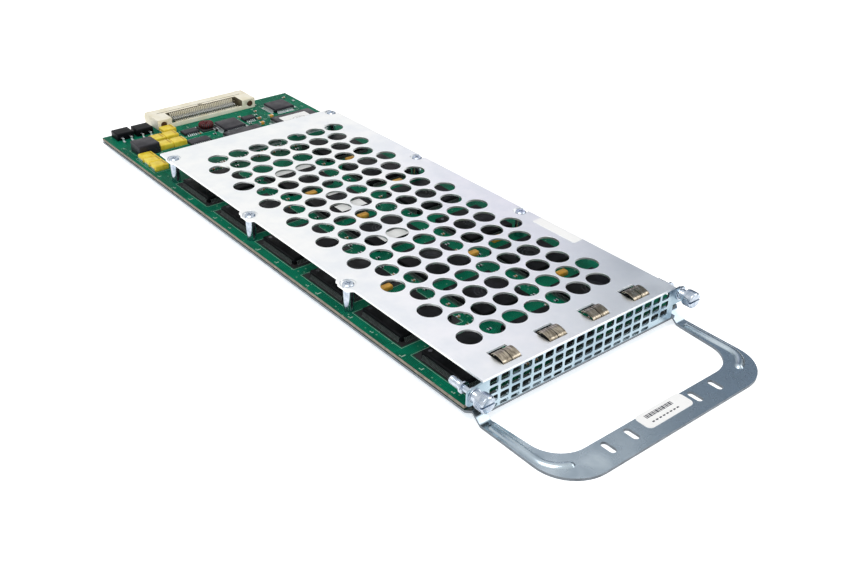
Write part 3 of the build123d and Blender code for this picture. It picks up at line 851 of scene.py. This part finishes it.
def coverScrews():
    form = screwForm
    piece = copyNode("cover_screws", "coverScrews")
    thin, reach = form["slotWidth"] / 2, form["slotHalf"]
    for acrossX, acrossY in ((reach, thin), (thin, reach)):
        cut(piece, addBoxes("recess", [(place(x - acrossX, y - acrossY, form["floor"]),
                                        place(x + acrossX, y + acrossY, form["over"]))
                                       for x, y in form["posts"]]))
    smooth(piece, 30)
    return finish(piece, materials["nickel"], replaced=["cover_screws"])


coverScrews()


# Thumbscrews: the CAD form with straight knurling on the head and thread turns on the shank
thumbForm = {"headRadius": 3.7, "ridges": 40, "ridge": 0.24, "ridgeFrom": 0.9, "ridgeTo": 4.4,
             "threadRadius": 1.6, "threadWire": 0.24, "threadPitch": 0.7, "threadTurns": 9, "threadFrom": 7.2,
             "height": 16.3,
             "headRear": -3.5, "headLength": 5.0, "across": {"left": -64.95, "right": 57.45}}


def thumbscrew(side):
    form = thumbForm
    x, z = form["across"][side], form["height"]
    piece = copyNode(f"thumbscrew_{side}", "thumbBody")
    soften(piece, 0.15 * mm, 2, 25)
    parts = [piece]
    half = form["ridge"] / 2
    front = form["headRear"] - form["headLength"]
    ridge = addBox("ridge", (-half * mm, front * mm + form["ridgeFrom"] * mm, (form["headRadius"] - 0.1) * mm),
                   (half * mm, (front + form["ridgeTo"]) * mm, (form["headRadius"] + 0.14) * mm))
    centre = place(x, 0, z)
    for number in range(form["ridges"]):
        spin = Matrix.Rotation(math.radians(360 * (number + 0.5) / form["ridges"]), 4, "Y")
        parts.append(copyPiece(ridge, Matrix.Translation(centre) @ spin))
    bpy.data.objects.remove(ridge)
    for number in range(form["threadTurns"]):
        deselect()
        bpy.ops.mesh.primitive_torus_add(
            major_radius=form["threadRadius"] * mm, minor_radius=form["threadWire"] * mm, major_segments=32,
            minor_segments=8, location=place(x, form["threadFrom"] + number * form["threadPitch"], z),
            rotation=(math.radians(90), 0, 0))
        parts.append(settle(bpy.context.active_object))
    screw = join(f"thumbscrew{side.capitalize()}", parts)
    smooth(screw, 40)
    return finish(screw, materials["nickel"], body=f"{side}_screw",
                  replaced=[f"thumbscrew_{side}"])


for side in ("left", "right"):
    thumbscrew(side)
print("screws ready")


# Spring clips: a bronze strip in two fingers that rises at the front, arches back and ends in the slot
clipForm = {"offset": -3.75, "pitch": 25.6, "count": 4, "width": 9.6, "split": 0.45, "sheet": 0.26, "tail": 0.3,
            "path": ((1.9, 19.95), (3.45, 19.97), (3.5, 21.15), (3.95, 21.75), (4.9, 22.15), (6.6, 22.62),
                     (8.3, 22.84), (9.7, 22.62), (10.7, 21.95), (11.15, 21.0), (11.2, 20.6), (11.2, 19.97))}


def springClip(number):
    form = clipForm
    x = form["offset"] + (number - (form["count"] + 1) / 2) * form["pitch"]
    path = form["path"]
    half = form["width"] / 2
    fingers = []
    for low, high in ((x - half, x - form["split"] / 2), (x + form["split"] / 2, x + half)):
        deselect()
        bpy.ops.mesh.primitive_plane_add(size=1, location=place((low + high) / 2, path[0][0] - 0.5, path[0][1]))
        finger = bpy.context.active_object
        finger.scale = ((high - low) * mm, 1.0 * mm, 1)
        settle(finger)
        edge = max(v.co.y for v in finger.data.vertices)
        ends = {v.index for v in finger.data.vertices if v.co.y > edge - 0.01 * mm}
        editFaces(finger, lambda part: ends.issuperset(part.vertices), "EDGE")
        for (y0, z0), (y1, z1) in zip(path, path[1:]):
            step = (0, (y1 - y0) * mm, (z1 - z0) * mm)
            bpy.ops.mesh.extrude_region_move(TRANSFORM_OT_translate={"value": step})
            if (y1, z1) == path[-2]:
                bpy.ops.transform.resize(value=(form["tail"], 1, 1),
                                         center_override=place((low + high) / 2, y1, z1))
        leaveEdit()
        fingers.append(finger)
    clip = join(f"springClip{number}", fingers)
    applyModifier(clip, "SUBSURF", levels=1, render_levels=1, boundary_smooth="PRESERVE_CORNERS")
    applyModifier(clip, "SOLIDIFY", thickness=form["sheet"] * mm, offset=0)
    smooth(clip, 50)
    return finish(clip, materials["bronze"], replaced=[f"spring_clip_{number}"])


for number in range(1, 5):
    springClip(number)
print("clips ready")


# Generic printed marks on the handle's label: bars and a row of short dashes, no text
handleMarks = {"bars": (-7.6, 8.6), "barLow": -39.0, "barHigh": -36.9, "dashes": (-7.4, 9.4), "dashLow": -42.4,
               "dashHigh": -40.7, "level": 1.35, "ink": 0.02}


def labelMarks():
    form = handleMarks
    boxes = []
    low, high = form["bars"]
    x = low
    number = 0
    while x < high:
        wide = (0.4, 0.65, 0.4, 0.9)[number % 4]
        boxes.append(((x, form["barLow"]), (x + wide, form["barHigh"])))
        x += wide + (0.4, 0.3, 0.45)[number % 3]
        number += 1
    low, high = form["dashes"]
    for number in range(8):
        x = low + number * (high - low) / 8
        boxes.append(((x, form["dashLow"] + 0.5), (x + 1.25, form["dashHigh"] - 0.5)))
    corners = [(place(*first, form["level"]), place(*second, form["level"] + form["ink"]))
               for first, second in boxes]
    return finish(addBoxes("labelMarks", corners), materials["ink"])


labelMarks()


# Remaining CAD nodes keep their shape and take a material
keptNodes = {"retaining_washer_left": "nickel", "retaining_washer_right": "nickel",
             "cover_label": "label", "handle_label": "label"}
for node, material in keptNodes.items():
    nodes[node].data.materials.clear()
    nodes[node].data.materials.append(materials[material])
print("labels ready")


# Camera at the photograph's viewing angle
cameraForm = {"place": (-279.38061, -381.58984, 254.20661), "lens": 43.0487,
              "turn": (59.22588805, -1.09112431, -39.34709458)}


def addCamera():
    deselect()
    bpy.ops.object.camera_add(location=[c * mm for c in cameraForm["place"]],
                              rotation=[math.radians(a) for a in cameraForm["turn"]])
    camera = bpy.context.active_object
    camera.data.lens = cameraForm["lens"]
    camera.data.sensor_width = 36
    camera.data.clip_start = 0.01
    bpy.context.scene.camera = camera


# Soft studio: two large lamps, a pale floor, a white room and four cards for the reflections
studioForm = {"floor": 3.0, "floorTone": "FFFFFF", "floorGlow": 0.5, "worldLight": 0.44,
              "key": {"at": (-0.5, -0.2, 1.1), "size": 0.8, "power": 8.0},
              "fill": {"at": (0.8, -0.7, 0.7), "size": 0.7, "power": 3.0},
              "cards": {"greyCard": {"at": (0.47, 0.09, 0.28), "size": (0.3, 0.26),
                                     "facing": (-0.63, -0.2, -0.55), "tone": "8794A6"},
                        "crossCard": {"at": (0.32, -0.03, 0.27), "size": (0.3, 0.13),
                                      "facing": (-0.3, 0.1, -0.9), "tone": "7A8693"},
                        "farCard": {"at": (0.47, 0.38, 0.28), "size": (0.22, 0.5),
                                    "facing": (-0.5, -0.4, -0.75), "tone": "E4E2F2"},
                        "sideCard": {"at": (0.34, 0.0, 0.065), "size": (0.7, 0.13), "facing": (-1, 0, 0),
                                     "tone": "20242C"}}}


def whiteRay(tree):
    # 1 for camera, glossy and transmission rays
    rays = addNode(tree, "ShaderNodeLightPath")
    first = addNode(tree, "ShaderNodeMath", {"operation": "MAXIMUM"},
                    {0: rays.outputs["Is Camera Ray"], 1: rays.outputs["Is Glossy Ray"]})
    return addNode(tree, "ShaderNodeMath", {"operation": "MAXIMUM"},
                   {0: first.outputs[0], 1: rays.outputs["Is Transmission Ray"]}).outputs[0]


def addCard(name, card):
    # a card that only reflections see, for contrast in the polished metal
    deselect()
    turn = Vector(card["facing"]).to_track_quat("Z", "Y").to_euler()
    bpy.ops.mesh.primitive_plane_add(size=1, location=card["at"], rotation=turn)
    piece = bpy.context.active_object
    piece.name = name
    piece.scale = (card["size"][0], card["size"][1], 1)
    settle(piece)
    piece.data.materials.append(newMaterial(name, card["tone"], 0.9)[0])
    piece.visible_camera = piece.visible_diffuse = piece.visible_shadow = False


def addStudio():
    form = studioForm
    deselect()
    bpy.ops.mesh.primitive_plane_add(size=form["floor"], location=(0, 0, -0.0002))
    floor = settle(bpy.context.active_object)
    floor.name = "floor"
    material, tree, shader = newMaterial("palePaper", form["floorTone"], 0.9)
    shader.inputs["Emission Color"].default_value = (1, 1, 1, 1)
    shader.inputs["Emission Strength"].default_value = form["floorGlow"]
    floor.data.materials.append(material)
    for name, card in form["cards"].items():
        addCard(name, card)
    world = bpy.data.worlds.new("studio")
    bpy.context.scene.world = world
    world.use_nodes = True
    tree = world.node_tree
    back = tree.nodes["Background"]
    level = addNode(tree, "ShaderNodeMapRange", {"To Min": form["worldLight"], "To Max": 1.0},
                    {"Value": whiteRay(tree)})
    back.inputs["Color"].default_value = (1, 1, 1, 1)
    tree.links.new(level.outputs["Result"], back.inputs["Strength"])
    for name in ("key", "fill"):
        lamp = form[name]
        at = Vector(lamp["at"])
        deselect()
        bpy.ops.object.light_add(type="AREA", location=at, rotation=at.to_track_quat("Z", "Y").to_euler())
        light = bpy.context.active_object.data
        light.energy = lamp["power"]
        light.size = lamp["size"]


addCamera()
addStudio()
bpy.context.scene.view_settings.view_transform = "Standard"
